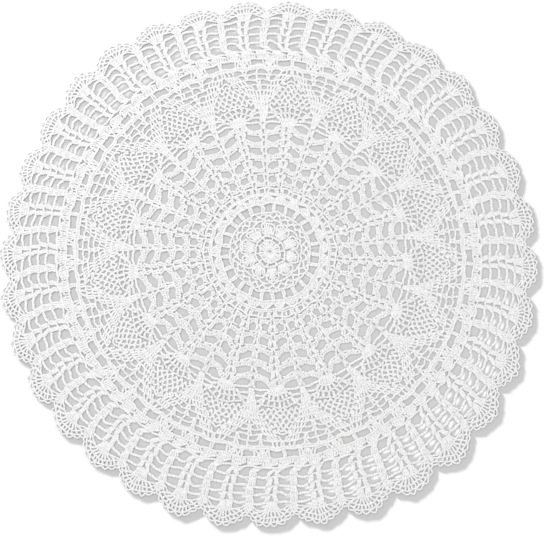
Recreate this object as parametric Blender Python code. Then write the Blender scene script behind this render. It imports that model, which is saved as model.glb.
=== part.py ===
"""Round crochet lace tablecloth, lying flat.

One sheet of cotton crochet worked in rounds from the centre: a flower of ten
petals, a ring of arched gaps, a ground of fans and open pots, seventeen
pineapple motifs, a row of windows under small domes, and a border of thirty
four scallops. The largest gaps of each repeat are cut through the sheet, and
the petals, shells, domes and scallop crowns stand a little proud of it.
Metres, +Z up. The origin is on the resting surface, under the cloth's middle.
"""

import math
import random

import bmesh
import bpy
from mathutils import Vector
from mathutils.geometry import delaunay_2d_cdt

MM = 0.001
NAME = "crochet_cloth"

# Driving sizes of the whole cloth
DIAMETER = 0.700
THICKNESS = 0.0020
REPEATS = 17
SCALLOPS = 2 * REPEATS
PETALS = 10
ARCHES = 25
CREST_RADIUS = DIAMETER / 2
SCALLOP_DEPTH = 15.0 * MM
SCALLOP_POINTS = 6
GAP_CORNERS = 7
RAISED_CORNERS = 6

# How unlike its neighbours each gap is, as a share of its size and as a shift
SEED = 17
SIZE_SPREAD = 0.065
SHIFT_MM = 0.6

# How the cloth was laid down by hand. Each ring of stitches has turned and
# slid a little round the middle, and swollen a little to one side.
# radius mm, turn deg, slide mm, slide heading deg, swell mm, swell heading deg
LAY = [
    (0, 18.0, 0.0, 0, 0.0, 0),
    (60, 18.0, 1.3, 232, 0.5, 29),
    (97, 17.7, 2.4, 167, 0.3, 244),
    (135, 18.1, 3.3, 163, 0.5, 211),
    (171, 18.5, 3.0, 178, 0.9, 250),
    (195, 18.0, 4.6, 200, 1.8, 322),
    (238, 19.2, 6.6, 183, 0.6, 54),
    (259, 19.4, 6.6, 186, 1.5, 56),
    (272, 19.6, 8.0, 190, 1.3, 80),
    (282, 19.9, 15.0, 102, 1.1, 130),
    (304, 19.9, 15.6, 100, 0.9, 117),
    (324, 19.9, 15.3, 116, 0.9, 60),
    (350, 19.9, 15.3, 122, 1.3, 303),
]

# The gaps that are cut through, one row for a round of them.
# name, repeats round the cloth, first deg, places in the repeat, radius mm,
# width mm, height mm, taper (above 0 is wider on the outside)
GAPS = [
    ("arch_ring", ARCHES, 2.6, (0.0,), 60.2, 10.6, 8.8, 0.20),
    ("pots_88", REPEATS, 0.0, (-0.285, 0.285), 115.4, 11.4, 10.8, 0.18),
    ("pots_103", REPEATS, 0.0, (-0.285, 0.285), 135.0, 15.2, 10.6, 0.18),
    ("pots_117", REPEATS, 0.0, (-0.285, 0.285), 153.4, 17.4, 10.4, 0.15),
    ("pots_130", REPEATS, 0.0, (-0.285, 0.285), 170.4, 15.4, 7.6, 0.10),
    ("windows", REPEATS, 0.0, (-0.113, 0.113, 0.5), 259.0, 13.4, 8.0, 0.06),
    ("ladders", SCALLOPS, 0.0, (-0.28, 0.28), 304.0, 15.4, 7.4, 0.0),
]

# The parts of the sheet that stand proud, one row for a round of them.
# name, repeats, first deg, places in the repeat, radius mm, half width mm,
# half height mm, rise mm. A spot's rim has RIM_SHARE of its rise.
RAISED = [
    ("petals", PETALS, 5.4, (0.0,), 28.4, 5.4, 6.0, 1.0),
    ("shells", ARCHES, 2.6, (0.0,), 69.5, 5.0, 3.0, 0.6),
    ("fans", REPEATS, 0.0, (0.0,), 177.5, 9.0, 3.4, 0.6),
    ("domes", REPEATS, 0.0, (0.1, 0.3, 0.5, 0.7, 0.9), 269.5, 0.0, 0.0, 0.7),
    ("crowns", SCALLOPS, 0.0, (0.0,), 330.0, 10.0, 4.5, 0.9),
]
RIM_SHARE = 0.45

# The round boss in the middle: radius and rise of its rings, as shares
BOSS_RADIUS = 13.4 * MM
BOSS_RISE = 0.8 * MM
BOSS_CORNERS = 12
BOSS_RINGS = ((0.45, 0.9), (0.85, 0.7), (1.15, 0.0))


def lay_row(radius):
    """The row of LAY that holds at a radius, blended between its neighbours."""
    size = radius / MM
    for inner, outer in zip(LAY, LAY[1:]):
        if size <= outer[0]:
            break
    share = min(1.0, (size - inner[0]) / (outer[0] - inner[0]))
    turn = inner[1] + share * (outer[1] - inner[1])
    pulls = []
    for amount, heading in ((2, 3), (4, 5)):
        ends = []
        for row in (inner, outer):
            direction = math.radians(row[heading])
            ends.append(Vector((math.cos(direction), math.sin(direction))) * row[amount] * MM)
        pulls.append(ends[0].lerp(ends[1], share))
    return math.radians(turn), pulls[0], pulls[1]


def laid(radius, angle):
    """The place on the surface of a stitch charted at a radius and an angle."""
    turn, slide, swell = lay_row(radius)
    angle += turn
    outward = Vector((math.cos(angle), math.sin(angle)))
    round_about = Vector((-outward.y, outward.x))
    return outward * (radius + swell.dot(outward)) + round_about * slide.dot(outward)


def places(repeats, first, offsets):
    """The charted angle of each like place round the cloth."""
    step = 2 * math.pi / repeats
    for repeat in range(repeats):
        for offset in offsets:
            yield math.radians(first) + (repeat + offset) * step


def patch(radius, angle, half_width, half_height, points, taper=0.0):
    """A rounded outline on the cloth, anticlockwise, narrower inside where it tapers."""
    ring = []
    for step in range(points):
        bend = 2 * math.pi * (step + 0.5) / points + math.pi / 2
        along = half_height * math.sin(bend)
        across = half_width * math.cos(bend) * (1 + taper * math.sin(bend))
        ring.append(laid(radius + along, angle - across / radius))
    return ring


def edge():
    """The outline of the cloth: one low arch for each scallop."""
    ring = []
    for scallop in range(SCALLOPS):
        for step in range(SCALLOP_POINTS):
            share = step / SCALLOP_POINTS - 0.5
            arch = math.sqrt(1 - (2 * share) ** 2)
            radius = CREST_RADIUS - SCALLOP_DEPTH * (1 - arch)
            ring.append(laid(radius, (scallop + share) * 2 * math.pi / SCALLOPS))
    return ring


def gaps(chance):
    """The outlines of all the gaps, each a little unlike the next."""
    rings = []
    for _, repeats, first, offsets, radius, width, height, taper in GAPS:
        for angle in places(repeats, first, offsets):
            size = 1 + chance.uniform(-SIZE_SPREAD, SIZE_SPREAD)
            shift = chance.uniform(-SHIFT_MM, SHIFT_MM) / radius
            half_width = width * MM / 2 * size
            half_height = height * MM / 2 * size
            ring = patch(
                radius * MM, angle + shift, half_width, half_height, GAP_CORNERS, taper
            )
            rings.append(ring)
    return rings


def raised_points():
    """Points inside the sheet, each with how far it stands proud."""
    points = [(laid(0.0, 0.0), BOSS_RISE)]
    for share, rise in BOSS_RINGS:
        for step in range(BOSS_CORNERS):
            angle = 2 * math.pi * step / BOSS_CORNERS
            points.append((laid(BOSS_RADIUS * share, angle), BOSS_RISE * rise))
    for _, repeats, first, offsets, radius, half_width, half_height, rise in RAISED:
        for angle in places(repeats, first, offsets):
            points.append((laid(radius * MM, angle), rise * MM))
            if half_width:
                ring = patch(
                    radius * MM, angle, half_width * MM, half_height * MM, RAISED_CORNERS
                )
                points += [(place, rise * MM * RIM_SHARE) for place in ring]
    return points


def centred(rings, points):
    """Everything moved so that the middle of the outline is over the origin."""
    low = Vector((min(p.x for p in rings[0]), min(p.y for p in rings[0])))
    high = Vector((max(p.x for p in rings[0]), max(p.y for p in rings[0])))
    middle = (low + high) / 2
    moved = [[place - middle for place in ring] for ring in rings]
    return moved, [(place - middle, rise) for place, rise in points]


def sheet_mesh(rings, points):
    """The sheet between its outline and its gaps, flat below, raised on top."""
    flat = []
    loops = []
    for ring in rings:
        loops.append(list(range(len(flat), len(flat) + len(ring))))
        flat += ring
    rises = [0.0] * len(flat) + [rise for _, rise in points]
    flat += [place for place, _ in points]
    triangles_inside = 1
    found = delaunay_2d_cdt(flat, [], loops, triangles_inside, 1e-7)
    verts, _, faces, sources, _, covers = found

    bm = bmesh.new()
    below = [bm.verts.new((v.x, v.y, 0.0)) for v in verts]
    for face, cover in zip(faces, covers):
        if len(cover) == 1:
            bm.faces.new([below[i] for i in face])
    above = {}
    grown = bmesh.ops.extrude_face_region(bm, geom=list(bm.faces), use_keep_orig=True)
    for item in grown["geom"]:
        if isinstance(item, bmesh.types.BMVert):
            above[(round(item.co.x, 7), round(item.co.y, 7))] = item
    for place, source in zip(verts, sources):
        top = above[(round(place.x, 7), round(place.y, 7))]
        top.co.z = THICKNESS + rises[source[0]]
    bmesh.ops.recalc_face_normals(bm, faces=list(bm.faces))
    mesh = bpy.data.meshes.new(NAME)
    bm.to_mesh(mesh)
    bm.free()
    return mesh


def cotton():
    """Plain white mercerised cotton."""
    material = bpy.data.materials.new("white_cotton")
    material.use_nodes = True
    shader = material.node_tree.nodes["Principled BSDF"]
    shader.inputs["Base Color"].default_value = (0.86, 0.86, 0.85, 1.0)
    shader.inputs["Roughness"].default_value = 0.85
    shader.inputs["Metallic"].default_value = 0.0
    return material


for old in list(bpy.data.objects):
    bpy.data.objects.remove(old, do_unlink=True)

chance = random.Random(SEED)
rings, points = centred([edge()] + gaps(chance), raised_points())
mesh = sheet_mesh(rings, points)
mesh.materials.append(cotton())
mesh.set_sharp_from_angle(angle=math.radians(40))

cloth = bpy.data.objects.new(NAME, mesh)
parts = bpy.data.collections.new("round_crochet_tablecloth")
bpy.context.scene.collection.children.link(parts)
parts.objects.link(cloth)
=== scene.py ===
"""The looks of a round crochet lace tablecloth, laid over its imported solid.

The lace is built stitch by stitch as cotton thread, in the rounds in which it
is worked from the middle outward: a flower of ten petals, a ring of arched
gaps, a ground of fans and open pots, seventeen pineapples, a ring of windows
under small domes, and a border that ends in thirty-four scallops. Lengths are
in mm up to the mesh, and angles in radians unless a comment says degrees.
"""

import math

import bpy
import numpy as np
from mathutils import Matrix, Vector


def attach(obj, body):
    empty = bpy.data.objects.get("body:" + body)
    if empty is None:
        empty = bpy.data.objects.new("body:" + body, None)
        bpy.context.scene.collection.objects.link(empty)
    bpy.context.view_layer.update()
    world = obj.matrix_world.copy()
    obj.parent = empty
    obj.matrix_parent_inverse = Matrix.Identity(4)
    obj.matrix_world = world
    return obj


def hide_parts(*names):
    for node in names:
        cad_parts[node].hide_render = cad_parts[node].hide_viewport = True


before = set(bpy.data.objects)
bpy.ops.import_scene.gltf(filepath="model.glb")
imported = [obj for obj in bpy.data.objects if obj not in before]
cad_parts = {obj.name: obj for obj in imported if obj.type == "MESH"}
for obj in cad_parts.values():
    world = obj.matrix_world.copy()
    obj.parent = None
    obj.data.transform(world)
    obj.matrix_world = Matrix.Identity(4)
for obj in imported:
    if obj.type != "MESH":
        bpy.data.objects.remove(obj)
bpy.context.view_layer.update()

# How the cloth lies
# A round cotton cloth, laid out flat by hand. Its rounds have turned and slid a
# little on the way from the middle to the edge, its hem is drawn out in some
# places and in at others, and the stitches wander by part of a millimetre.

MM = 0.001
REPEATS = 17
SCALLOPS = 2 * REPEATS
CREST_RADIUS = 350.0
SCALLOP_DEPTH = 15.0

# radius, turn in degrees, slide and its heading in degrees, swell and its heading
LAY = np.array([
    (0, 18.0, 0.0, 0, 0.0, 0),
    (60, 18.0, 1.3, 232, 0.5, 29),
    (97, 17.7, 2.4, 167, 0.3, 244),
    (135, 18.1, 3.3, 163, 0.5, 211),
    (171, 18.5, 3.0, 178, 0.9, 250),
    (195, 18.5, 4.6, 200, 1.8, 322),
    (238, 19.5, 6.6, 183, 0.6, 54),
    (259, 19.6, 6.6, 186, 1.5, 56),
    (272, 19.6, 8.0, 190, 1.3, 80),
    (282, 19.9, 15.0, 102, 1.1, 130),
    (304, 19.9, 15.6, 100, 0.9, 117),
    (324, 19.9, 15.3, 116, 0.9, 60),
    (350, 19.9, 15.3, 122, 1.3, 303),
])

# the cloth is a little longer on one diagonal than on the other
DIAGONAL_PULL = -0.0061

# the wander of the stitches: wavelength, heading in degrees, which also shifts
# the wave, and sway
WANDER = (
    (44.0, 160, 0.75), (31.0, 75, 0.65), (23.0, 20, 0.60), (17.0, 131, 0.52),
    (12.0, 47, 0.45), (9.0, 102, 0.34),
)

# how the hem lies, from a radius outward: heading in degrees, and how far the
# crests are drawn out and drawn round there
HEM_FROM = 270.0
HEM = np.array([
    (0, -1, -2), (25, 2, 3), (45, 10, 4), (60, 9, -2), (85, 2, -6), (105, -1, -3),
    (130, 6, -2), (155, -3, 4), (180, 2, 7), (205, 4, 5), (235, 1, -2), (250, 3, -8),
    (278, -6, -13), (295, 1, -13), (315, 5, -11), (345, -2, -6),
])


def pull(radius, amount, heading):
    """How far the round at a radius is pulled, along x and along y."""
    direction = np.radians(LAY[:, heading])
    return (
        np.interp(radius, LAY[:, 0], LAY[:, amount] * np.cos(direction)),
        np.interp(radius, LAY[:, 0], LAY[:, amount] * np.sin(direction)),
    )


def laid(radius, angle):
    """Where on the surface the stitches charted at a radius and an angle lie."""
    turned = angle + np.radians(np.interp(radius, LAY[:, 0], LAY[:, 1]))
    out_x, out_y = np.cos(turned), np.sin(turned)
    slide_x, slide_y = pull(radius, 2, 3)
    swell_x, swell_y = pull(radius, 4, 5)
    reach = radius + swell_x * out_x + swell_y * out_y
    sidle = slide_x * out_x + slide_y * out_y
    return out_x * reach - out_y * sidle, out_y * reach + out_x * sidle


def outline(points, taper=0.5):
    """Radius and angle along the scalloped edge, with so many points a scallop.

    A scallop is half an ellipse at a taper of 0.5, and more pointed above it.
    """
    steps = np.arange(SCALLOPS * points)
    share = steps % points / points - 0.5
    arch = (1 - (2 * share) ** 2) ** taper
    angle = (steps // points + share) * 2 * np.pi / SCALLOPS
    return CREST_RADIUS - SCALLOP_DEPTH * (1 - arch), angle


# the solid's edge has so many points a scallop, and its middle over the origin
SOLID_POINTS = 6
EDGE_X, EDGE_Y = laid(*outline(SOLID_POINTS))
MIDDLE_X = (EDGE_X.min() + EDGE_X.max()) / 2
MIDDLE_Y = (EDGE_Y.min() + EDGE_Y.max()) / 2


def placed(radius, angle):
    """The charted stitches as laid, with the cloth's middle over the origin."""
    x, y = laid(radius, angle)
    x, y = x + DIAGONAL_PULL * y, y + DIAGONAL_PULL * x
    heading = np.arctan2(y - MIDDLE_Y, x - MIDDLE_X)
    share = np.clip((radius - HEM_FROM) / (CREST_RADIUS - HEM_FROM), 0, 1)
    out = share * np.interp(np.degrees(heading), HEM[:, 0], HEM[:, 1], period=360)
    past = share * np.interp(np.degrees(heading), HEM[:, 0], HEM[:, 2], period=360)
    x = x + out * np.cos(heading) - past * np.sin(heading)
    y = y + out * np.sin(heading) + past * np.cos(heading)
    sway_x, sway_y = 0.0, 0.0
    for wavelength, degrees, sway in WANDER:
        along = math.cos(math.radians(degrees)), math.sin(math.radians(degrees))
        wave = sway * np.sin(2 * np.pi * (x * along[0] + y * along[1]) / wavelength + degrees)
        sway_x = sway_x - wave * along[1]
        sway_y = sway_y + wave * along[0]
    return x + sway_x - MIDDLE_X, y + sway_y - MIDDLE_Y


# The thread
# Mercerised white cotton, three plies twisted together, with a soft fuzz and a
# faint sheen. One drawing of the plies is wound along each stitch, so that all
# of them share it.

CLOTH = "crochet_cloth"
SEED = 34
SIDES = 5
# mm of thread in the drawing, and how far into it, as a share, a stitch may start
DRAWN_LENGTH = 60.0
START_SPREAD = 0.3

PLIES = 3
PLY_PITCH = 2.6
THREAD_GIRTH = 6.0
FUZZ_SCALE = 2.2
# the plies' share in the lie of the thread, of which the fuzz has the rest
PLY_SHARE = 0.7
# the lighter and darker loops, which also stand for painted shade in the crevices
# between threads: how often they change for each mm, their contrast, their
# middle, and how much painted shade the lie of the thread adds in the ply grooves
MOTTLE_SCALE = 0.55
MOTTLE_CONTRAST, MOTTLE_MIDDLE, PAINTED_GROOVE_SHADE = 2.4, 0.45, 0.3
LIGHT_COTTON = (0.945, 0.945, 0.942, 1.0)
SHADED_COTTON = (0.75, 0.75, 0.747, 1.0)
RELIEF_STRENGTH = 0.5
RELIEF_DEPTH = 0.25
SMOOTH_ROUGHNESS, FUZZ_ROUGHNESS = 0.72, 0.18
SHEEN_WEIGHT, SHEEN_ROUGHNESS = 0.15, 0.5


class Wire:
    """One output of a shader node, on which sums are written as in Python."""

    def __init__(self, tree, socket=None):
        self.tree, self.socket = tree, socket

    def node(self, kind, settings=(), output=0, **sockets):
        """A new node's output. Sockets are given by name, or as i and their number."""
        made = self.tree.nodes.new(kind)
        for setting, value in dict(settings).items():
            setattr(made, setting, value)
        for name, value in sockets.items():
            number = int(name[1:]) if name[1:].isdigit() else name.replace("_", " ")
            place = made.inputs[number]
            if isinstance(value, Wire):
                self.tree.links.new(value.socket, place)
            else:
                place.default_value = value
        return Wire(self.tree, made.outputs[output])

    def sum(self, operation, first, second=0.0):
        return self.node("ShaderNodeMath", {"operation": operation}, i0=first, i1=second)

    def __add__(self, other):
        return self.sum("ADD", self, other)

    __radd__ = __add__

    def __sub__(self, other):
        return self.sum("SUBTRACT", self, other)

    def __rsub__(self, other):
        return self.sum("SUBTRACT", other, self)

    def __mul__(self, other):
        return self.sum("MULTIPLY", self, other)

    __rmul__ = __mul__

    def sine(self):
        return self.sum("SINE", self)

    def into(self, socket):
        """Leads this output into a socket of another node."""
        self.tree.links.new(self.socket, socket)


def cotton():
    """White mercerised thread: twisted plies, a soft fuzz and a faint sheen."""
    material = bpy.data.materials.new("white_cotton_thread")
    material.use_nodes = True
    shader = material.node_tree.nodes["Principled BSDF"]
    start = Wire(material.node_tree)
    drawn = start.node("ShaderNodeUVMap", {"uv_map": "OFBake"})
    along = start.node("ShaderNodeSeparateXYZ", output=0, i0=drawn) * DRAWN_LENGTH
    about = start.node("ShaderNodeSeparateXYZ", output=1, i0=drawn)
    plies = 0.5 + 0.5 * ((along * (1 / PLY_PITCH) + about * PLIES) * (2 * math.pi)).sine()
    fibres = start.node("ShaderNodeCombineXYZ", i0=along, i1=about * THREAD_GIRTH, i2=0.0)
    flat_noise = {"noise_dimensions": "2D"}
    fuzz = start.node(
        "ShaderNodeTexNoise", flat_noise, Vector=fibres, Scale=FUZZ_SCALE, Detail=3.0
    )
    loops = start.node(
        "ShaderNodeTexNoise", flat_noise, Vector=fibres, Scale=MOTTLE_SCALE, Detail=1.0
    )
    lie = plies * PLY_SHARE + fuzz * (1 - PLY_SHARE)
    # painted shade: darker in the crevices between threads and in the ply grooves, over a random
    # mottle
    mottle_and_painted_shade = (loops - 0.5) * MOTTLE_CONTRAST + MOTTLE_MIDDLE + lie * PAINTED_GROOVE_SHADE
    tint = start.node(
        "ShaderNodeMix", {"data_type": "RGBA"}, 2, i0=mottle_and_painted_shade, i6=SHADED_COTTON, i7=LIGHT_COTTON
    )
    relief = start.node(
        "ShaderNodeBump", Strength=RELIEF_STRENGTH, Distance=RELIEF_DEPTH * MM, Height=lie
    )
    tint.into(shader.inputs["Base Color"])
    (SMOOTH_ROUGHNESS + fuzz * FUZZ_ROUGHNESS).into(shader.inputs["Roughness"])
    relief.into(shader.inputs["Normal"])
    shader.inputs["Sheen Weight"].default_value = SHEEN_WEIGHT
    shader.inputs["Sheen Roughness"].default_value = SHEEN_ROUGHNESS
    return material


COTTON = cotton()


class Skein:
    """Gathers the stitches of one piece and joins them in one mesh."""

    def __init__(self, name):
        self.name = name
        self.chance = np.random.default_rng(SEED)
        self.points, self.corners, self.starts, self.drawing = [], [], [], []
        self.point_count, self.corner_count = 0, 0

    def thread(self, radius, angle, height, wide, thick, twist=0.0):
        """Adds tubes: each row of the arrays is a tube and each column a place along it."""
        radius, angle, height, wide, thick = np.broadcast_arrays(
            radius, angle, height, wide, thick
        )
        x, y = placed(radius, angle)
        centre = np.stack([x, y, height], axis=-1)
        along = np.gradient(centre, axis=1)
        length = np.linalg.norm(along, axis=2)
        along = along / length[..., None]
        side = np.stack([-along[..., 1], along[..., 0], np.zeros_like(x)], axis=-1)
        side /= np.linalg.norm(side, axis=2)[..., None]
        top = np.cross(along, side)

        turn = (twist * np.linspace(0, 1, x.shape[1]))[None, :, None]
        round_about = (2 * np.pi * np.arange(SIDES) / SIDES)[None, None, :]
        flat = wide[..., None] * np.cos(round_about)
        high = thick[..., None] * np.sin(round_about)
        aside = flat * np.cos(turn) - high * np.sin(turn)
        above = flat * np.sin(turn) + high * np.cos(turn)
        skin = centre[:, :, None] + side[:, :, None] * aside[..., None]
        skin = skin + top[:, :, None] * above[..., None]
        self.points.append(skin.reshape(-1, 3) * MM)
        self.cover(*x.shape)
        self.draw(length)

    def cover(self, tubes, places):
        """The faces along the last tubes and over their ends."""
        index = self.point_count + np.arange(tubes * places * SIDES)
        index = index.reshape(tubes, places, SIDES)
        after = np.roll(index, -1, axis=2)
        walls = np.stack([index[:, :-1], after[:, :-1], after[:, 1:], index[:, 1:]], axis=-1)
        tails, heads = index[:, 0, ::-1], index[:, -1]
        self.corners += [walls.ravel(), tails.ravel(), heads.ravel()]
        counts = np.concatenate([np.full(walls.size // 4, 4), np.full(2 * tubes, SIDES)])
        self.starts.append(self.corner_count + np.cumsum(counts) - counts)
        self.point_count += index.size
        self.corner_count += int(counts.sum())

    def draw(self, length):
        """Where in the drawing of the thread each corner of those faces lies."""
        run = np.cumsum(length, axis=1) / DRAWN_LENGTH
        run = run - run[:, :1] + self.chance.random((len(run), 1)) * START_SPREAD
        rim = np.arange(SIDES) / SIDES
        low, high, step = np.broadcast_arrays(
            run[:, :-1, None], run[:, 1:, None], rim[None, None, :]
        )
        next_step = step + 1 / SIDES
        walls = [low, step, low, next_step, high, next_step, high, step]
        self.drawing.append(np.stack(walls, -1).ravel())
        for share, order in ((run[:, 0], rim[::-1]), (run[:, -1], rim)):
            ends = np.broadcast_arrays(share[:, None], order[None, :])
            self.drawing.append(np.stack(ends, -1).ravel())

    def wind(self):
        """The piece itself."""
        mesh = bpy.data.meshes.new(self.name)
        points = np.concatenate(self.points)
        corners = np.concatenate(self.corners)
        starts = np.concatenate(self.starts)
        mesh.vertices.add(len(points))
        mesh.vertices.foreach_set("co", points.ravel())
        mesh.loops.add(len(corners))
        mesh.loops.foreach_set("vertex_index", corners)
        mesh.polygons.add(len(starts))
        mesh.polygons.foreach_set("loop_start", starts)
        drawn = mesh.uv_layers.new(name="OFBake")
        drawn.data.foreach_set("uv", np.concatenate(self.drawing))
        mesh.update(calc_edges=True)
        mesh.validate()
        mesh.shade_smooth()
        mesh.materials.append(COTTON)
        piece = bpy.data.objects.new(self.name, mesh)
        bpy.context.scene.collection.objects.link(piece)
        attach(piece, "root")
        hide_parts(CLOTH)
        return piece


# The stitches
# Double crochet stands as a post with the working thread wrapped round it, and
# chain stitches follow one another like beads, alone or along a row's top. No
# two come out quite alike.

# share of the post's height, width, height above the table
POST = np.array([
    (0.00, 0.92, 0.70),
    (0.20, 1.06, 0.82),
    (0.45, 0.94, 0.86),
    (0.70, 1.08, 0.94),
    (0.90, 1.04, 0.94),
    (1.00, 0.88, 0.86),
])
POST_WIDTH = 1.75
POST_THICKNESS = 0.52
POST_TWIST = 0.38
POST_FLARE = 2.0
CHAIN_WIDTH = 1.62
CHAIN_THICKNESS = 0.55
CHAIN_BEAD = np.array([0.82, 1.12])
# how high over the table a chain's middle lies: on its own, along the heads of
# stitches, as a round between two rounds, and as a firm round of the flower
CHAIN_RISE = 0.74
HEAD_RISE = 1.10
ROUND_RISE = 1.2
FIRM_RISE = 1.4
# how uneven they are: places in mm, widths and bows as shares, and the most
UNEVEN_MM = 0.22
UNEVEN_WIDTH = 0.06
UNEVEN_BOW = 0.12
UNEVEN_MOST = 2.0


def posts(skein, foot, head, width=POST_WIDTH, dome=0.0):
    """Double crochets from each foot to each head, both as (radius, angle).

    Each stands straight on its foot and leans over near its head.
    """
    ends = [part.ravel()[:, None] for part in np.broadcast_arrays(*foot, *head)]
    uneven = skein.chance.normal(0.0, 1.0, (5, len(ends[0]), 1))
    foot_radius = ends[0] + UNEVEN_MM * uneven[0]
    foot_angle = ends[1] + UNEVEN_MM * uneven[1] / foot_radius
    head_radius = ends[2] + UNEVEN_MM * uneven[2]
    head_angle = ends[3] + UNEVEN_MM * uneven[3] / head_radius
    share, girth, rise = POST.T
    radius = foot_radius + share * (head_radius - foot_radius)
    angle = foot_angle + share ** POST_FLARE * (head_angle - foot_angle)
    height = rise + dome * np.sin(np.pi * share)
    fuller = 1 + UNEVEN_WIDTH * np.clip(uneven[4], -UNEVEN_MOST, UNEVEN_MOST)
    wide = girth * width * fuller
    skein.thread(radius, angle, height, wide, girth * POST_THICKNESS, POST_TWIST)


def strand(skein, radius, angle, height=CHAIN_RISE, width=CHAIN_WIDTH):
    """Chain stitches through rows of places, two places to a stitch."""
    bead = CHAIN_BEAD[np.arange(angle.shape[1]) % len(CHAIN_BEAD)]
    skein.thread(radius, angle, height, bead * width, bead * CHAIN_THICKNESS)


def chain(skein, start, end, links, bow=0.0, height=CHAIN_RISE, width=CHAIN_WIDTH, square=2):
    """Chain stitches from each start to each end, bowed outward by bow."""
    ends = [part.ravel()[:, None] for part in np.broadcast_arrays(*start, *end)]
    from_radius, from_angle, to_radius, to_angle = ends
    share = np.linspace(0, 1, links * len(CHAIN_BEAD) + 1)[None, :]
    uneven = skein.chance.normal(0.0, 1.0, (2,) + from_radius.shape)
    reach = bow * (1 + UNEVEN_BOW * uneven[0]) + UNEVEN_MM * uneven[1]
    swell = reach * (1 - np.abs(2 * share - 1) ** square)
    radius = from_radius + share * (to_radius - from_radius) + swell
    angle = from_angle + share * (to_angle - from_angle)
    strand(skein, radius, angle, height, width)


# The centre flower
# Worked first, round a small ring of chain: a disc of double crochets, ten
# petals with a chain arch over each, a net of loops, and a ring of arched gaps
# between double columns, with small shells on it.

ARCHES = 25
ARCH_FIRST_DEGREES = 2.6
# the rounds of chain: radius, lengths, links in a length, height over the table
EYE_ROUND = (3.5, 8, 1, CHAIN_RISE)
DISC_ROUND = (14.0, 9, 3, HEAD_RISE)
PETAL_ROUND = (19.6, 10, 4, FIRM_RISE)
NET_ROUND = (52.4, ARCHES, 4, FIRM_RISE)
COLUMN_ROUND = (65.2, ARCHES, 5, FIRM_RISE)
SHELL_ROUND = (76.2, ARCHES, 6, ROUND_RISE)

DISC_STITCHES = 24
DISC_FOOT, DISC_HEAD = 3.9, 13.2
DISC_WIDTH, DISC_DOME = 1.6, 0.5
# the slanting stalk between the disc and each petal: across and radius
STALK_FOOT, STALK_HEAD = (-3.6, 14.6), (-5.6, 19.2)
STALK_WIDTH = 1.5

PETALS = 10
PETAL_FIRST_DEGREES = 5.4
# across and radius of the heads of a petal's stitches, on one side
PETAL_HEADS = np.array([(1.4, 36.8), (4.2, 35.6), (6.4, 32.6), (7.9, 28.8)])
PETAL_FOOT = 21.0
PETAL_FOOT_HALF = 5.2
PETAL_WIDTH, PETAL_DOME = 1.45, 0.3
# the chain arch over a petal: half angle, foot radius, rise, squareness, links
ARCH_HALF = 0.272
ARCH_FOOT = 28.5
ARCH_RISE = 9.0
ARCH_SQUARE = 0.6
ARCH_LINKS = 18

# the net's first round is caught down on both sides of each petal, at an across
# and a radius, with a loop of so many links and such a bow over it and between
CATCH_ACROSS, CATCH_RADIUS = 4.2, 39.2
OVER_PETAL, BETWEEN_PETALS = (3, 2.4), (5, 2.6)
# its other rounds: place in the repeat, radius, links, bow
NET_LOOPS = ((0.0, 42.6, 5, 4.9), (0.5, 47.3, 5, 4.2))
NET_WIDTH = 1.7

# the columns and the shells: radius and both ends across the axis, of the feet
# and of the heads
COLUMN_FOOT, COLUMN_HEAD = (52.8, -1.3, 1.3), (64.4, -0.8, 0.8)
COLUMN_STITCHES = 2
SHELL_FOOT, SHELL_HEAD = (65.6, -7.3, 7.3), (68.0, -7.0, 7.0)
SHELL_STITCHES, SHELL_BOW, SHELL_SQUARE = 7, 7.0, 2.5


def axes_of(repeats, place=0.0, first=0.0, some=None):
    """The chart angles of one place in each repeat, or in some. First is in degrees."""
    chosen = np.arange(repeats) if some is None else np.asarray(some)
    return math.radians(first) + (chosen + place) * 2 * np.pi / repeats


def looped(skein, places, links, bow=0.0, height=CHAIN_RISE, width=CHAIN_WIDTH):
    """Chain from each place of a row to the next one."""
    radius, angle = places
    chain(skein, (radius[:, :-1], angle[:, :-1]), (radius[:, 1:], angle[:, 1:]),
          links, bow, height, width)


def ring(skein, radius, lengths, links, height=CHAIN_RISE, ends=(0.0, 2 * math.pi)):
    """A chain round the cloth, or between two angles, in equal lengths."""
    joints = np.linspace(*ends, lengths + 1)[None, :]
    looped(skein, (radius + 0 * joints, joints), links, 0.0, height)


def across(axes, offset, radius):
    """Chart places at offsets across each axis: one row for an axis."""
    radius, offset = np.broadcast_arrays(np.atleast_1d(radius), np.atleast_1d(offset))
    angle = np.asarray(axes)[:, None] + (offset / radius)[None, :]
    return np.broadcast_to(radius[None, :], angle.shape), angle


def mirrored(axes, offset, radius):
    """The same on both sides of each axis."""
    radius, offset = np.broadcast_arrays(np.atleast_1d(radius), np.atleast_1d(offset))
    return across(axes, np.append(-offset, offset), np.append(radius, radius))


def bar(skein, axes, start, end, links, bow=0.6, put=across, width=CHAIN_WIDTH):
    """A chain beside each axis from start to end, each as (across, radius)."""
    chain(skein, put(axes, *start), put(axes, *end), links, bow, CHAIN_RISE, width)


def block(skein, axes, foot, head, count, bow=0.0, tops=True, put=across, square=2):
    """Double crochets side by side across each axis, with the chain of their tops.

    foot and head are (radius, from, to), from and to across the axis. The
    block's middle reaches further out than its ends by bow, in a rounder or
    squarer bow.
    """
    share = np.linspace(0, 1, count)
    feet = put(axes, foot[1] + share * (foot[2] - foot[1]), foot[0])
    swell = bow * (1 - np.abs(2 * share - 1) ** square)
    heads = put(axes, head[1] + share * (head[2] - head[1]), head[0] + swell)
    posts(skein, feet, heads)
    if tops:
        edge = (head[2] - head[1]) / max(count - 1, 1) / 2
        chain(skein, put(axes, head[1] - edge, head[0]), put(axes, head[2] + edge, head[0]),
              count, bow, HEAD_RISE, square=square)


flower = Skein("centre_flower")
disc = axes_of(DISC_STITCHES)
ring(flower, *EYE_ROUND)
posts(flower, (DISC_FOOT, disc), (DISC_HEAD, disc), DISC_WIDTH, dome=DISC_DOME)
ring(flower, *DISC_ROUND)

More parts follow.
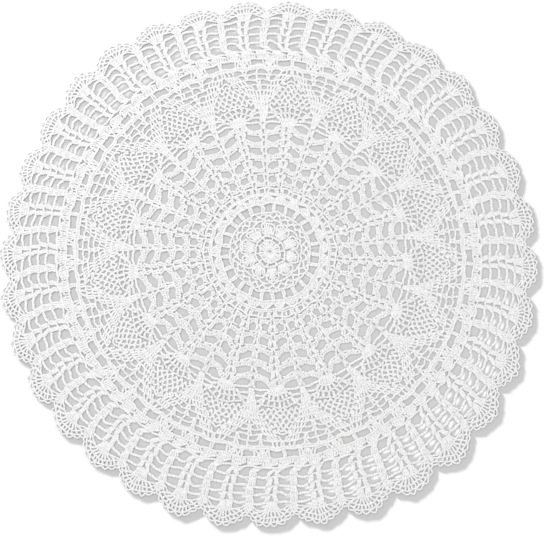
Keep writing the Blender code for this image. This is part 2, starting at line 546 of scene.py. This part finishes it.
petal = axes_of(PETALS, 0.0, PETAL_FIRST_DEGREES)
posts(flower, across(petal, *STALK_FOOT), across(petal, *STALK_HEAD), STALK_WIDTH)
ring(flower, *PETAL_ROUND)
share = (np.arange(len(PETAL_HEADS)) + 0.5) / len(PETAL_HEADS)
posts(flower, mirrored(petal, PETAL_FOOT_HALF * share, PETAL_FOOT),
      mirrored(petal, *PETAL_HEADS.T), PETAL_WIDTH, dome=PETAL_DOME)
bend = np.linspace(-1, 1, ARCH_LINKS * len(CHAIN_BEAD) + 1) * math.pi / 2
arch_angle = ARCH_HALF * np.sign(bend) * np.abs(np.sin(bend)) ** ARCH_SQUARE
arch_radius = ARCH_FOOT + ARCH_RISE * np.abs(np.cos(bend)) ** ARCH_SQUARE
strand(flower, arch_radius[None, :], petal[:, None] + arch_angle[None, :], width=NET_WIDTH)

caught, caught_before = (CATCH_ACROSS, CATCH_RADIUS), (-CATCH_ACROSS, CATCH_RADIUS)
bar(flower, petal, caught_before, caught, *OVER_PETAL, width=NET_WIDTH)
next_petal = petal + 2 * math.pi / PETALS
chain(flower, across(petal, *caught), across(next_petal, *caught_before), *BETWEEN_PETALS,
      width=NET_WIDTH)
arch_half = math.pi / ARCHES
for place, radius, links, bow in NET_LOOPS:
    loops = axes_of(ARCHES, place, ARCH_FIRST_DEGREES)
    chain(flower, (radius, loops - arch_half), (radius, loops + arch_half), links, bow,
          width=NET_WIDTH)
ring(flower, *NET_ROUND)

columns = axes_of(ARCHES, 0.5, ARCH_FIRST_DEGREES)
block(flower, columns, COLUMN_FOOT, COLUMN_HEAD, COLUMN_STITCHES, tops=False)
ring(flower, *COLUMN_ROUND)
shells = axes_of(ARCHES, 0.0, ARCH_FIRST_DEGREES)
block(flower, shells, SHELL_FOOT, SHELL_HEAD, SHELL_STITCHES, SHELL_BOW, square=SHELL_SQUARE)
ring(flower, *SHELL_ROUND)

flower.wind()

# The ground of fans and pots
# Rounds of double crochet. Fans widen on the line of each pineapple, a narrow
# column of V stitches runs between them, and every other round leaves an open
# pot on either side, over the dip of the close round before it.

HALF_TURN = math.pi / REPEATS
# radius of the fan's foot, middle and head, and of the V column's; of the
# pot's dip; and how far across the fan's and the column's last stitches reach
GROUND = [
    (86.4, 95.5, 105.0, 86.4, 95.5, 104.5, 91.8, 6.6, 3.3),
    (105.0, 115.3, 125.0, 104.5, 113.5, 122.4, 110.0, 7.0, 3.8),
    (125.0, 135.0, 144.6, 122.4, 131.7, 141.0, 129.5, 7.6, 4.3),
    (144.6, 154.4, 163.6, 141.0, 150.5, 158.6, 148.2, 7.8, 4.7),
    (163.6, 173.4, 181.0, 158.6, 167.0, 176.6, 165.2, 9.0, 3.4),
]

# the close rows: across the axis of a fan's and a column's first stitches, how
# far apart stitches stand, and where the pot dips, as a share of half a repeat
FAN_FOOT, FAN_MIDDLE = 1.5, 4.0
VEE_FOOT, VEE_MIDDLE = 1.5, 3.9
STITCH_PITCH = 2.9
POT_SHARE = 0.58
# the two tiers of stitches meet half way out, and this share of the way from
# feet to heads across
WAIST_SHARE = 0.25
# where the eyelets are, as shares of the way from fan to column, and their half
# width, counted in stitches
EYELETS = np.array((0.27, 0.67))
EYELET_HALF = 0.75
# how far inside the row the heads end at the fan and at the column
FAN_LOW, VEE_LOW = 0.4, 0.8
# the chain along the heads: how far in from the fan's side it starts, how far
# outside the heads it lies, its links in the first round, and its bow
FAN_INSET = 1.0
RIM_LIFT = 0.6
RIM_LINKS = 2
RIM_BOW = -0.5
# links and bow of the short chains over a fan and over a column
FAN_BAR, VEE_BAR = (4, 0.4), (2, 0.4)

# the open rows: feet and inner heads of a fan's two stitches on each side, how
# far in from the fan's side the outer ones end, and how far below the row
FAN_FEET = (1.5, 3.7)
FAN_HEAD = 3.9
FAN_SIDE = 0.5
FAN_SHORT = np.array((0.7, 0.9))
VEE_SHORT = 0.6
# the chain over a fan: how far below the row it lies, and its links and bow
FAN_TOP_LOW, FAN_TOP = 0.2, (5, 0.5)
# over a column: how far past the last stitch it reaches, and its links and bow
VEE_TOP_PAST, VEE_TOP = 0.8, (3, 0.4)
# over a pot: how far below the row it ends, how far past the fan it starts, its
# links in the first round, and its bow
POT_LOW, POT_PAST = 0.3, 0.9
POT_LINKS, POT_BOW = 3, 0.6

# the first round of the inner ground: its chain, its posts and their chain
FIRST_ROUND = (78.6, REPEATS, 9)
FIRST_POSTS = (2.4, 5.0, 12.6)
FIRST_FOOT, FIRST_HEAD = 79.8, 85.6
SECOND_ROUND = (86.0, REPEATS, 10, ROUND_RISE)


def close_row(skein, fans, columns, number):
    """The close half of a round, in two tiers of double crochet with eyelets."""
    foot, middle, _, vee_foot, vee_middle, _, dip, outer, _ = GROUND[number]
    half_foot, half_middle = vee_foot * HALF_TURN, vee_middle * HALF_TURN
    reach = half_middle - FAN_MIDDLE - VEE_MIDDLE
    count = round(reach / STITCH_PITCH) + 1
    share = np.linspace(0, 1, count)
    feet = FAN_FOOT + share * (half_foot - FAN_FOOT - VEE_FOOT)
    foot_radius = foot + share * (vee_foot - foot)
    heads = FAN_MIDDLE + share * reach
    rim = (outer - FAN_INSET, POT_SHARE * half_middle, half_middle - VEE_MIDDLE)
    rim_radius = (middle - FAN_LOW, dip, vee_middle - VEE_LOW)
    head_radius = np.interp(heads, rim, rim_radius)
    waist = feet + WAIST_SHARE * (heads - feet)
    waist_radius = (foot_radius + head_radius) / 2

    full = np.abs(share[:, None] - EYELETS).min(axis=1) > EYELET_HALF / (count - 1)
    posts(skein, mirrored(fans, feet[full], foot_radius[full]),
          mirrored(fans, waist[full], waist_radius[full]))
    for hand in (-1, 1):
        looped(skein, across(fans, hand * waist, waist_radius), 1, 0.0, HEAD_RISE)
    posts(skein, mirrored(fans, waist, waist_radius), mirrored(fans, heads, head_radius))
    for near in range(2):
        bar(skein, fans, (rim[near], rim_radius[near] + RIM_LIFT),
            (rim[near + 1], rim_radius[near + 1] + RIM_LIFT), RIM_LINKS + number // 2,
            RIM_BOW, mirrored)
    bar(skein, fans, (FAN_INSET - outer, middle), (outer - FAN_INSET, middle), *FAN_BAR)
    bar(skein, columns, (-VEE_MIDDLE, vee_middle), (VEE_MIDDLE, vee_middle), *VEE_BAR)


def open_row(skein, fans, columns, number):
    """The open half of a round: a fan and a column with a pot between them.

    The last round has only the column's arms, since the pineapples stand there.
    """
    _, middle, head, _, vee_middle, vee_head, _, outer, column = GROUND[number]
    posts(skein, mirrored(columns, VEE_FOOT, vee_middle),
          mirrored(columns, column, vee_head - VEE_SHORT))
    if number == len(GROUND) - 1:
        return
    side, half_head = column + VEE_TOP_PAST, vee_head * HALF_TURN
    bar(skein, columns, (-side, vee_head), (side, vee_head), *VEE_TOP)
    posts(skein, mirrored(fans, FAN_FEET, middle),
          mirrored(fans, (FAN_HEAD, outer - FAN_SIDE), head - FAN_SHORT))
    top = head - FAN_TOP_LOW
    bar(skein, fans, (-outer, top), (outer, top), *FAN_TOP)
    bar(skein, fans, (outer + POT_PAST, top),
        (half_head - column - VEE_TOP_PAST, vee_head - POT_LOW),
        POT_LINKS + number // 2, POT_BOW, mirrored)


def fan_ground(skein, rounds):
    """The rounds of the ground that are numbered so."""
    fans = axes_of(REPEATS)
    columns = axes_of(REPEATS, 0.5)
    for number in rounds:
        close_row(skein, fans, columns, number)
        open_row(skein, fans, columns, number)


inner_ground = Skein("inner_fan_ground")
fans = axes_of(REPEATS)
ring(inner_ground, *FIRST_ROUND)
posts(inner_ground, mirrored(fans, FIRST_POSTS, FIRST_FOOT),
      mirrored(fans, FIRST_POSTS, FIRST_HEAD))
ring(inner_ground, *SECOND_ROUND)
fan_ground(inner_ground, range(0, 2))
inner_ground.wind()

outer_ground = Skein("outer_fan_ground")
fan_ground(outer_ground, range(2, 5))
outer_ground.wind()

# The pineapples
# On each fan stands a shell with spaced double crochets, then rounds of chain
# loops with fewer loops each time. Solid wedges between them part into bands,
# which run round the loops and meet over each pineapple's tip.

# radius and both ends across the axis of the feet and of the heads of the shell
# on the fan, its stitches and its bow
FOOT_SHELL = ((174.0, -7.5, 7.5), (181.5, -11.5, 11.5), 9, 3.5)
# the spaced double crochets stand round the pineapple's foot, stretched sideways
PINEAPPLE_FOOT = 168.0
PINEAPPLE_STRETCH = 1.2
LEAVES = 7
LEAF_WIDTH = 1.9
# degrees between a row's stitches, distance of feet, heads and rim
LEAF_ROWS = [(14.0, 17.5, 23.6, 24.4), (12.0, 25.2, 31.6, 32.4)]

# across and radius of both ends of each chain from the pineapple to the wedge
SIDE_CHAINS = [
    ((9.5, 177.5), (29.4, 176.6)),
    ((12.5, 183.5), (29.6, 184.2)),
    ((18.5, 188.0), (29.8, 191.6)),
    ((23.0, 194.0), (29.6, 199.0)),
    ((27.2, 204.6), (28.4, 208.0)),
    ((24.4, 210.8), (26.4, 214.6)),
    ((19.8, 216.8), (21.4, 221.6)),
    ((14.6, 222.6), (15.6, 228.4)),
    ((9.6, 228.0), (9.4, 234.0)),
]
# length of a link of them, bow and width
SIDE_LINK, SIDE_BOW, SIDE_WIDTH = 2.6, 0.6, 2.0

# radius of the loops' feet on the axis, at the side, half width, loops, bow
LOOP_ROUNDS = [
    (201.2, 198.6, 28.6, 8, 4.6),
    (206.2, 204.6, 27.2, 7, 4.8),
    (211.2, 210.8, 24.4, 6, 4.8),
    (216.4, 216.8, 19.8, 5, 4.8),
    (221.6, 222.6, 14.6, 4, 4.8),
    (226.8, 228.0, 9.6, 3, 4.4),
    (231.8, 231.8, 5.4, 1, 3.4),
]
LOOP_LINKS, LOOP_WIDTH = 4, 1.7

# radius of feet and heads, inner and outer edge across the axis, stitches
BANDS = [
    (168.0, 176.4, 30.4, 30.4, 1),
    (177.0, 184.0, 30.8, 33.0, 2),
    (184.4, 191.5, 31.0, 34.2, 2),
    (191.9, 199.0, 30.6, 35.6, 3),
    (199.4, 206.6, 30.0, 37.0, 3),
    (207.0, 214.2, 27.2, 37.8, 4),
    (214.6, 221.6, 21.8, 34.0, 4),
    (222.0, 228.6, 15.8, 28.8, 4),
    (229.0, 235.6, 9.2, 23.8, 4),
    (236.0, 243.0, 1.5, 17.2, 5),
    (243.4, 250.6, 1.5, 11.8, 3),
]

# the net beside the last bands, from the middle of each wedge: radius of feet
# and heads, across of the V stitches' feet, and how far their arms spread
NET_VEES = [
    (222.0, 228.4, 0.0, 2.4), (229.0, 235.4, 0.0, 3.4),
    (236.0, 242.8, 14.4, 2.9), (243.4, 250.4, 16.2, 3.4),
]
NET_VEE_FOOT = 0.9
# radius of feet and heads of the single posts on that middle
NET_POSTS = [(214.6, 221.4), (236.0, 242.8), (243.4, 250.4)]
# both ends, links and bow of the net's first chain; links and bow of the others
# inside and outside the V stitches, and how far off the band these end
NET_FIRST = ((-5.6, 221.8), (5.6, 221.8), 4, 0.4)
NET_INSIDE, NET_OUTSIDE = (3, 0.6), (3, 0.8)
NET_CLEARANCE = 1.0

# the close row that ends the pineapples, and the chain on it
LAST_FOOT, LAST_HEAD = 250.4, 253.6
LAST_STITCHES = 34
LAST_CHAIN_RADIUS, LAST_LINKS, LAST_RISE = 254.0, 28, 1.3


def leaf_place(axes, own_angle, distance):
    """Chart places round a pineapple's foot, at its own angles and distances."""
    aside = PINEAPPLE_STRETCH * distance * np.sin(own_angle)
    return across(axes, aside, PINEAPPLE_FOOT + distance * np.cos(own_angle))


def fruit_net(skein, wedge):
    """The posts, V stitches and chains between the pineapples' last bands."""
    for foot, head in NET_POSTS:
        posts(skein, across(wedge, 0.0, foot), across(wedge, 0.0, head))
    bar(skein, wedge, *NET_FIRST)
    for (foot, head, spot, arms), band in zip(NET_VEES, BANDS[-len(NET_VEES):]):
        band_edge = head * HALF_TURN - band[3] - NET_CLEARANCE
        for hand in ((-1, 1) if spot else (1,)):
            block(skein, wedge, (foot, hand * spot - NET_VEE_FOOT, hand * spot + NET_VEE_FOOT),
                  (head, hand * spot - arms, hand * spot + arms), 2)
        if spot:
            bar(skein, wedge, (0.0, head), (spot - arms, head), *NET_INSIDE, mirrored)
        bar(skein, wedge, (spot + arms, head), (band_edge, head), *NET_OUTSIDE, mirrored)


def pineapples(skein, some):
    """The pineapples with these numbers, and the wedge after each."""
    fruit = axes_of(REPEATS, 0.0, 0.0, some)
    wedge = axes_of(REPEATS, 0.5, 0.0, some)
    block(skein, fruit, *FOOT_SHELL)
    for step, near, far, rim in LEAF_ROWS:
        own = np.radians((np.arange(LEAVES) - (LEAVES - 1) / 2) * step)
        posts(skein, leaf_place(fruit, own, near), leaf_place(fruit, own, far), LEAF_WIDTH)
        own = np.radians(np.linspace(-0.5, 0.5, 2 * LEAVES + 1) * LEAVES * step)
        looped(skein, leaf_place(fruit, own, rim), 1, 0.0, HEAD_RISE)
    for start, end in SIDE_CHAINS:
        links = max(2, round((end[0] - start[0]) / SIDE_LINK))
        bar(skein, fruit, start, end, links, SIDE_BOW, mirrored, SIDE_WIDTH)
    for centre, side, half, loops, bow in LOOP_ROUNDS:
        spots = half * np.linspace(-1, 1, loops + 1)
        feet = across(fruit, spots, centre - (centre - side) * (spots / half) ** 2)
        looped(skein, feet, LOOP_LINKS, bow, width=LOOP_WIDTH)
    before = BANDS[0]
    for band in BANDS:
        foot, head, inner, outer, count = band
        block(skein, fruit, (foot, (inner + before[2]) / 2, (outer + before[3]) / 2),
              (head, inner, outer), count, put=mirrored)
        before = band

    fruit_net(skein, wedge)
    ends = (fruit[0] - HALF_TURN, fruit[-1] + HALF_TURN)
    stitches = np.linspace(*ends, LAST_STITCHES * len(fruit))
    posts(skein, (LAST_FOOT, stitches), (LAST_HEAD, stitches))
    ring(skein, LAST_CHAIN_RADIUS, len(fruit), LAST_LINKS, LAST_RISE, ends)


for name, some in (("pineapples_left", range(0, 9)), ("pineapples_right", range(9, 17))):
    fruit_band = Skein(name)
    pineapples(fruit_band, some)
    fruit_band.wind()

# The windows and domes
# A ring of windows between close posts and small crossed clusters, and on it a
# row of solid domes, five to each repeat, with a round of chain above and below.

WINDOW_FOOT, WINDOW_HEAD = 254.4, 264.0
WINDOW_POST = 1.3
# across the fan's axis: feet and heads of the stitches of a cluster
CLUSTER = np.array([
    (20.0, 19.8), (39.6, 39.8), (27.4, 22.4), (31.4, 37.4), (22.4, 26.4), (37.0, 32.6),
    (28.6, 28.0), (30.2, 30.8),
])
# half width, radius and links of the chain at the foot of each wedge's window
SILL_HALF, SILL_RADIUS, SILL_LINKS = 7.4, 256.2, 5
# radius of the two rounds of chain, and links in a repeat
BELOW_DOMES, BELOW_LINKS = 264.8, 30
ABOVE_DOMES, ABOVE_LINKS = 276.6, 32
DOMES = 5
# radius and both ends across a dome's axis, of its feet and of its heads
DOME_FOOT, DOME_SHOULDER = (265.4, -7.8, 7.8), (269.4, -8.2, 8.2)
DOME_STITCHES, DOME_BOW, DOME_SQUARE = 7, 5.8, 3


def windows(skein, some):
    """The ring of windows and the domes, over some of the repeats."""
    fans = axes_of(REPEATS, 0.0, 0.0, some)
    wedge = axes_of(REPEATS, 0.5, 0.0, some)
    posts(skein, mirrored(fans, WINDOW_POST, WINDOW_FOOT),
          mirrored(fans, WINDOW_POST, WINDOW_HEAD))
    posts(skein, mirrored(fans, CLUSTER[:, 0], WINDOW_FOOT),
          mirrored(fans, CLUSTER[:, 1], WINDOW_HEAD))
    bar(skein, wedge, (-SILL_HALF, SILL_RADIUS), (SILL_HALF, SILL_RADIUS), SILL_LINKS, 0.0)
    ends = (fans[0] - HALF_TURN, fans[-1] + HALF_TURN)
    ring(skein, BELOW_DOMES, len(fans), BELOW_LINKS, HEAD_RISE, ends)
    joints = np.linspace(*ends, len(fans) * DOMES + 1)
    domes = (joints[:-1] + joints[1:]) / 2
    block(skein, domes, DOME_FOOT, DOME_SHOULDER, DOME_STITCHES, DOME_BOW, square=DOME_SQUARE)
    ring(skein, ABOVE_DOMES, len(fans), ABOVE_LINKS, ROUND_RISE, ends)


# The border
# Rounds of fans on the line of each scallop and of double posts between them,
# with open ladders beside both, and the scallops: a shell, two rows of spaced
# double crochets along its arc, and an edge of small picots.

# radius of feet and heads of the ladders' rounds
LADDERS = [(277.2, 288.4), (288.8, 299.4), (299.8, 310.0), (310.4, 320.4)]
# across of the feet and heads on the scallop's line; how far below the round
# they and the chain over them end; and the chain's half width, links and bow
CROWN_FEET = (2.2, 3.8, 5.4)
CROWN_HEADS = (4.6, 6.2, 7.8)
CROWN_SHORT, CROWN_LOW = 1.2, 0.8
CROWN_HALF, CROWN_LINKS, CROWN_BOW = 9.0, 6, 0.6
# the same of the pairs between the scallops, whose chain lies past the round
PAIR_FEET = (1.2, 3.0)
PAIR_HEADS = (1.6, 4.4)
PAIR_PAST = 0.5
PAIR_HALF, PAIR_LINKS, PAIR_BOW = 6.0, 4, 0.2
# a ladder's rung: how far from the scallop's line and from the pair's it ends,
# its links, bow and width, and how far its ends stray along the ladder
RUNG_FROM_CROWN, RUNG_FROM_PAIR = 8.6, 5.6
RUNG_LINKS, RUNG_BOW, RUNG_WIDTH = 5, 1.0, 2.15
RUNG_STRAY = 0.6
HALF_SCALLOP = math.pi / SCALLOPS

# the feet of the scallops' shells and of the last pairs, and across of both
# ends of the shell's stitches; across and radius of the pair's heads
SCALLOP_FOOT = 320.8
CREST_FEET = (1.6, 3.3, 5.0, 6.7)
CREST_HEADS = np.array((1.4, 4.2, 7.2, 10.2))
VALLEY_HEADS = ((1.6, 4.2), (333.0, 331.0))
# radius of each arc's ends, rise of its middle, half width
ARCS = np.array([(322.4, 8.6, 28.0), (322.6, 17.0, 28.0), (329.6, 15.6, 28.6), (331.6, 14.4, 29.0)])
ARC_STITCHES = 26
ARC_TAPER = 0.8
PICOTS = 9
PICOT_RISE = 3.6
# half width of a row's feet on its arc, of its heads on the next, stitches
ARC_ROWS = [(13.0, 21.6, 9), (20.6, 26.0, 11)]
ARC_WIDTH = 1.6
EDGE_WIDTH = 1.35


def ladders(skein, crowns, pairs):
    """The rounds of fans and double posts, and the rungs between them."""
    for foot, head in LADDERS:
        crown_top, pair_top = head - CROWN_LOW, head + PAIR_PAST
        posts(skein, mirrored(crowns, CROWN_FEET, foot),
              mirrored(crowns, CROWN_HEADS, head - CROWN_SHORT))
        bar(skein, crowns, (-CROWN_HALF, crown_top), (CROWN_HALF, crown_top), CROWN_LINKS,
            CROWN_BOW)
        posts(skein, mirrored(pairs, PAIR_FEET, foot), mirrored(pairs, PAIR_HEADS, head))
        bar(skein, pairs, (-PAIR_HALF, pair_top), (PAIR_HALF, pair_top), PAIR_LINKS, PAIR_BOW)
        near = mirrored(crowns, RUNG_FROM_CROWN, crown_top)
        far = mirrored(crowns, head * HALF_SCALLOP - RUNG_FROM_PAIR, pair_top)
        stray = RUNG_STRAY * skein.chance.normal(0.0, 1.0, (2,) + near[0].shape)
        chain(skein, (near[0] + stray[0], near[1]), (far[0] + stray[1], far[1]), RUNG_LINKS,
              RUNG_BOW, width=RUNG_WIDTH)


def arc_radius(number, offset):
    """Radius at an offset from the scallop's axis along one of its arcs."""
    ends, rise, half = ARCS[number]
    return ends + rise * (1 - (offset / half) ** 2) ** ARC_TAPER


def scallop_arcs(skein, crowns):
    """Each scallop's shell, its rows of spaced stitches, its arcs and its picots."""
    posts(skein, mirrored(crowns, CREST_FEET, SCALLOP_FOOT),
          mirrored(crowns, CREST_HEADS, arc_radius(0, CREST_HEADS)))
    for number, (feet, heads, count) in enumerate(ARC_ROWS):
        share = np.linspace(-1, 1, count)
        posts(skein, across(crowns, feet * share, arc_radius(number, feet * share)),
              across(crowns, heads * share, arc_radius(number + 1, heads * share)), ARC_WIDTH)
    bend = np.linspace(-1, 1, ARC_STITCHES * len(CHAIN_BEAD) + 1) * math.pi / 2
    for number, (ends, rise, half) in enumerate(ARCS):
        last = number == len(ARCS) - 1
        picot = PICOT_RISE * np.abs(np.sin(PICOTS * bend)) if last else 0 * bend
        offset = (half + picot) * np.sin(bend)
        radius = ends + (rise + picot) * np.cos(bend) ** (2 * ARC_TAPER)
        strand(skein, *across(crowns, offset, radius), HEAD_RISE, EDGE_WIDTH)


def border(skein, some):
    """The border's rounds and scallops over some of the repeats."""
    scallops = np.concatenate([[2 * k, 2 * k + 1] for k in some])
    crowns = axes_of(SCALLOPS, 0.0, 0.0, scallops)
    pairs = axes_of(SCALLOPS, 0.5, 0.0, scallops)
    ladders(skein, crowns, pairs)
    posts(skein, mirrored(pairs, PAIR_FEET, SCALLOP_FOOT), mirrored(pairs, *VALLEY_HEADS))
    scallop_arcs(skein, crowns)


for name, some in (
    ("border_first", range(0, 6)), ("border_second", range(6, 12)), ("border_third", range(12, 17))
):
    edging = Skein(name)
    windows(edging, some)
    border(edging, some)
    edging.wind()

# The surface
# A plain white table with a matt finish. The cloth's shade is painted on it in
# grey; it is soft and reaches a little past the cloth at its lower right. Light
# that gets through the larger gaps of the border is painted on that shade too,
# and falls as far to the lower right as the shade.

# in metres: half the table's width, and how far its top is under the cloth
TABLE_HALF = 4.0
TABLE_DROP = 0.0001
TABLE_ROUGHNESS, TABLE_SPECULAR = 0.9, 0.1
# the table's own white, then the painted shade near its edge and deeper under the cloth
WHITE = 0.98
PAINTED_SHADE_EDGE = 0.56
PAINTED_SHADE_UNDER_CLOTH = 0.61
SHADE_POINTS = 18
SHADE_SHIFT = (7.0, -8.4)
# how much paler the painted shade gets towards the lower right, for each mm
SHADE_SLOPE = 0.00010
# how far past the edge's own shade each rim of the painted shade lies, and its colour
SHADE_RIMS = ((-14.0, PAINTED_SHADE_UNDER_CLOTH), (-10.0, PAINTED_SHADE_EDGE), (-2.2, PAINTED_SHADE_EDGE), (2.2, WHITE))
# painted light, where light falls through the ladders and the windows onto the
# painted shade: how often it repeats, places in the repeat, radius, half width
# and half height
LIT = [
    (SCALLOPS, (-0.275, 0.275), 282.8, 5.6, 2.4),
    (SCALLOPS, (-0.275, 0.275), 294.0, 5.6, 2.3),
    (SCALLOPS, (-0.275, 0.275), 304.8, 5.6, 2.2),
    (SCALLOPS, (-0.275, 0.275), 315.2, 5.4, 2.0),
    (SCALLOPS, (-0.300, 0.300), 324.0, 4.0, 1.4),
    (REPEATS, (-0.113, 0.113), 259.4, 5.0, 2.6),
]
LIT_CORNERS = 10
# share of its size at the light's bright middle and at its soft rim
LIT_MIDDLE, LIT_RIM = 0.45, 1.3
# how bright it is, and how much more so at the lower right and less at the
# upper left; how far it strays; and in metres how far it lies over the shade
LIT_SHARE, LIT_SWING = 0.74, 0.26
LIT_STRAY = 0.5
LIT_LIFT = 0.00004

finish = bpy.data.materials.new("matt_table")
finish.use_nodes = True
matt = finish.node_tree.nodes["Principled BSDF"]
# the table's colour comes from its vertex colours, which hold the painted shade and painted light
shade = Wire(finish.node_tree).node("ShaderNodeVertexColor", {"layer_name": "shade"})
shade.into(matt.inputs["Base Color"])
matt.inputs["Roughness"].default_value = TABLE_ROUGHNESS
matt.inputs["Specular IOR Level"].default_value = TABLE_SPECULAR

places, colours, faces = [], [], []


def band_faces(start, count):
    """Faces between two rims of so many places each, the first at a start."""
    return [
        (start + k, start + (k + 1) % count, start + count + (k + 1) % count, start + count + k)
        for k in range(count)
    ]


def add_rim(x, y, height, colour):
    """Places of one rim of the painted shade or of a painted light on the table, and their colour.
    """
    for across_mm, along_mm in zip(x + SHADE_SHIFT[0], y + SHADE_SHIFT[1]):
        places.append((across_mm * MM, along_mm * MM, height))
        paler = 1 + SHADE_SLOPE * (across_mm - along_mm) if colour < WHITE else 1.0
        colours.append(3 * (colour * paler,) + (1.0,))


# painted shade: the cloth's shadow on the table, in grey rims that fade out to white
shade_x, shade_y = placed(*outline(SHADE_POINTS, ARC_TAPER))
reach = np.hypot(shade_x, shade_y)
for number, (grow, colour) in enumerate(SHADE_RIMS):
    share = 1 + grow / reach
    add_rim(shade_x * share, shade_y * share, -TABLE_DROP, colour)
    if number:
        faces += band_faces((number - 1) * len(reach), len(reach))
faces.append(list(range(len(reach))))
faces.append([len(places) + corner for corner in range(4)])
for side_x, side_y in ((-1, -1), (1, -1), (1, 1), (-1, 1)):
    places.append((side_x * TABLE_HALF, side_y * TABLE_HALF, -2 * TABLE_DROP))
    colours.append(3 * (WHITE,) + (1.0,))

# painted light: bright soft spots on the painted shade, set past each gap towards the lower right
bend = 2 * np.pi * np.arange(LIT_CORNERS) / LIT_CORNERS
chance = np.random.default_rng(SEED)
for repeats, offsets, radius, half_wide, half_high in LIT:
    for offset in offsets:
        for spot in axes_of(repeats, offset):
            start = len(places)
            stray = LIT_STRAY * chance.normal(0.0, 1.0, 2)
            x, y = placed(radius, spot)
            bright = LIT_SHARE + LIT_SWING * (x - y) / math.hypot(x, y) / math.sqrt(2)
            middle = PAINTED_SHADE_UNDER_CLOTH + bright * (WHITE - PAINTED_SHADE_UNDER_CLOTH)
            for grow, colour in ((LIT_MIDDLE, middle), (LIT_RIM, PAINTED_SHADE_UNDER_CLOTH)):
                x, y = placed(radius + stray[0] + half_high * grow * np.sin(bend),
                              spot + (stray[1] + half_wide * grow * np.cos(bend)) / radius)
                add_rim(x, y, LIT_LIFT - TABLE_DROP, colour)
            faces.append([start + corner for corner in range(LIT_CORNERS)])
            faces += band_faces(start, LIT_CORNERS)

table_mesh = bpy.data.meshes.new("table")
table_mesh.from_pydata(places, [], faces)
shades = table_mesh.color_attributes.new("shade", "FLOAT_COLOR", "POINT")
for corner, colour in zip(shades.data, colours):
    corner.color = colour
table_mesh.materials.append(finish)
table = bpy.data.objects.new("table", table_mesh)
bpy.context.scene.collection.objects.link(table)

# The light and the camera
# Even daylight comes from all round, and a little more of it from the upper
# left. The camera looks nearly straight down, from the cloth's lower side.

SKY_COLOUR = (1.0, 1.0, 1.0, 1.0)
SKY_STRENGTH = 0.97
# in watts, and in metres
WINDOW_POWER = 4.0
WINDOW_SIZE = 0.5
WINDOW_PLACE = (-0.75, 0.75, 0.85)

world = bpy.data.worlds.new("soft_daylight")
bpy.context.scene.world = world
world.use_nodes = True
sky = world.node_tree.nodes["Background"]
sky.inputs["Color"].default_value = SKY_COLOUR
sky.inputs["Strength"].default_value = SKY_STRENGTH

window_data = bpy.data.lights.new("window_light", "AREA")
window_data.energy = WINDOW_POWER
window_data.size = WINDOW_SIZE
window = bpy.data.objects.new("window_light", window_data)
window.location = WINDOW_PLACE
window.rotation_euler = Vector(WINDOW_PLACE).to_track_quat("Z", "Y").to_euler()
bpy.context.scene.collection.objects.link(window)

# from where the chart has its middle
EYE = (-10.2, -229.6, 1178.7)
AIM = (6.7, -21.8, 0.0)
LENS = 60.3
# the nearest and furthest that it sees, in metres
NEAREST, FURTHEST = 0.05, 20.0

camera_data = bpy.data.cameras.new("camera")
camera_data.lens = LENS
camera_data.clip_start, camera_data.clip_end = NEAREST, FURTHEST
camera = bpy.data.objects.new("camera", camera_data)
bpy.context.scene.collection.objects.link(camera)
eye = np.array(EYE) - (MIDDLE_X, MIDDLE_Y, 0.0)
aim = np.array(AIM) - (MIDDLE_X, MIDDLE_Y, 0.0)
camera.location = eye * MM
back = Vector(eye - aim).normalized()
right = Vector((0.0, 1.0, 0.0)).cross(back).normalized()
upward = back.cross(right)
camera.rotation_euler = Matrix((right, upward, back)).transposed().to_euler()
bpy.context.scene.camera = camera
bpy.context.scene.view_settings.view_transform = "Standard"
